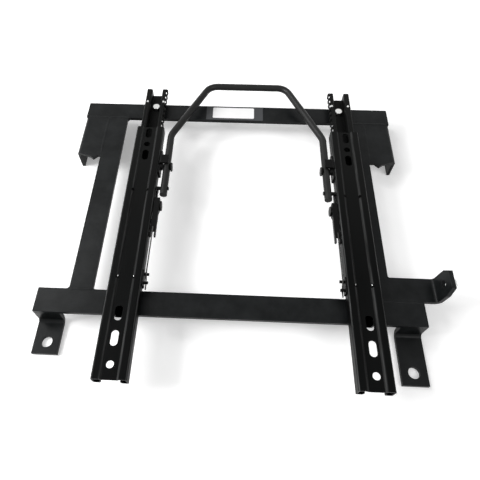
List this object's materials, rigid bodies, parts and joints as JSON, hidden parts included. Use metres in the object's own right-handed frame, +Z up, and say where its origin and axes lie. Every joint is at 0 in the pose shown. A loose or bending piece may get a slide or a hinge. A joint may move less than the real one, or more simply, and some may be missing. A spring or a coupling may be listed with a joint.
{
  "type": "sliding seat base",
  "caption": "Welded flat bar seat base with two sliding seat rails, a toothed lock lever on each rail and one towel bar handle that works both.",
  "frame": {"origin": "middle of the bottom of the part's box, on the vehicle floor", "axes": "+X to the right across the rails, +Y forward along the rails, +Z up"},
  "size_m": [0.5982, 0.558, 0.078],
  "materials": {
    "frame_paint": "semi-gloss",
    "rail_steel": "semi-gloss",
    "handle_paint": "satin",
    "lock_paint": "satin",
    "zinc": "zinc plated",
    "ball_steel": "greased",
    "spring_steel": "dark"
  },
  "bodies": {
    "base": {"rear_crossbar": "frame_paint", "front_crossbar": "frame_paint", "left_side_bar": "frame_paint", "right_side_bar": "frame_paint", "left_front_bracket": "frame_paint", "right_front_bracket": "frame_paint", "left_rear_foot": "frame_paint", "right_rear_foot": "frame_paint", "buckle_bracket": "frame_paint", "buckle_weld_nut": "zinc", "left_lower_rail": "rail_steel", "right_lower_rail": "rail_steel", "left_front_rail_bolt": "zinc", "left_front_rail_nut": "zinc", "left_rear_rail_bolt": "zinc", "left_rear_rail_nut": "zinc", "left_outer_stop_rivet": "zinc", "left_inner_stop_rivet": "zinc", "right_front_rail_bolt": "zinc", "right_front_rail_nut": "zinc", "right_rear_rail_bolt": "zinc", "right_rear_rail_nut": "zinc", "right_outer_stop_rivet": "zinc", "right_inner_stop_rivet": "zinc"},
    "left_slider": {"left_upper_rail": "rail_steel", "left_lever_pivot": "lock_paint", "left_handle_carrier": "lock_paint", "left_pivot_spacer": "lock_paint", "left_handle_pivot": "lock_paint", "left_spring_anchor": "lock_paint", "left_spring_wire": "spring_steel"},
    "right_slider": {"right_upper_rail": "rail_steel", "right_lever_pivot": "lock_paint", "right_handle_carrier": "lock_paint", "right_pivot_spacer": "lock_paint", "right_handle_pivot": "lock_paint", "right_spring_anchor": "lock_paint", "right_spring_wire": "spring_steel"},
    "left_balls": {"left_outer_ball_cage": "ball_steel", "left_inner_ball_cage": "ball_steel"},
    "right_balls": {"right_outer_ball_cage": "ball_steel", "right_inner_ball_cage": "ball_steel"},
    "left_lock": {"left_lock_lever": "lock_paint"},
    "right_lock": {"right_lock_lever": "lock_paint"},
    "handle": {"towel_bar": "handle_paint", "left_cross_pin": "lock_paint", "right_cross_pin": "lock_paint"}
  },
  "joints": [
    {"name": "left_slide", "type": "slide", "parent": "base", "child": "left_slider", "axis": [0, 1, 0], "range_m": [-0.036, 0.18]},
    {"name": "right_slide", "type": "slide", "parent": "base", "child": "right_slider", "axis": [0, 1, 0], "range_m": [-0.036, 0.18]},
    {"name": "left_ball_roll", "type": "slide", "parent": "base", "child": "left_balls", "axis": [0, 1, 0], "range_m": [-0.018, 0.09]},
    {"name": "right_ball_roll", "type": "slide", "parent": "base", "child": "right_balls", "axis": [0, 1, 0], "range_m": [-0.018, 0.09]},
    {"name": "handle_lift", "type": "hinge", "parent": "left_slider", "child": "handle", "pos_m": [0.00188, 0.0745, 0.056], "axis": [1, 0, 0], "range_deg": [-3, 0], "stiffness_Nm_per_rad": 1.5, "springref_deg": -22.92},
    {"name": "left_lock_swing", "type": "hinge", "parent": "left_slider", "child": "left_lock", "pos_m": [-0.14267, -0.002, 0.051], "axis": [1, 0, 0], "range_deg": [0, 4.29]},
    {"name": "right_lock_swing", "type": "hinge", "parent": "right_slider", "child": "right_lock", "pos_m": [0.14643, -0.002, 0.051], "axis": [1, 0, 0], "range_deg": [0, 4.29]}
  ],
  "couplings": [
    {"joint": "right_slide", "follows": "left_slide", "ratio": 1},
    {"joint": "left_ball_roll", "follows": "left_slide", "ratio": 0.5},
    {"joint": "right_ball_roll", "follows": "left_slide", "ratio": 0.5},
    {"joint": "left_lock_swing", "follows": "handle_lift", "ratio": -1.4286},
    {"joint": "right_lock_swing", "follows": "handle_lift", "ratio": -1.4286}
  ]
}
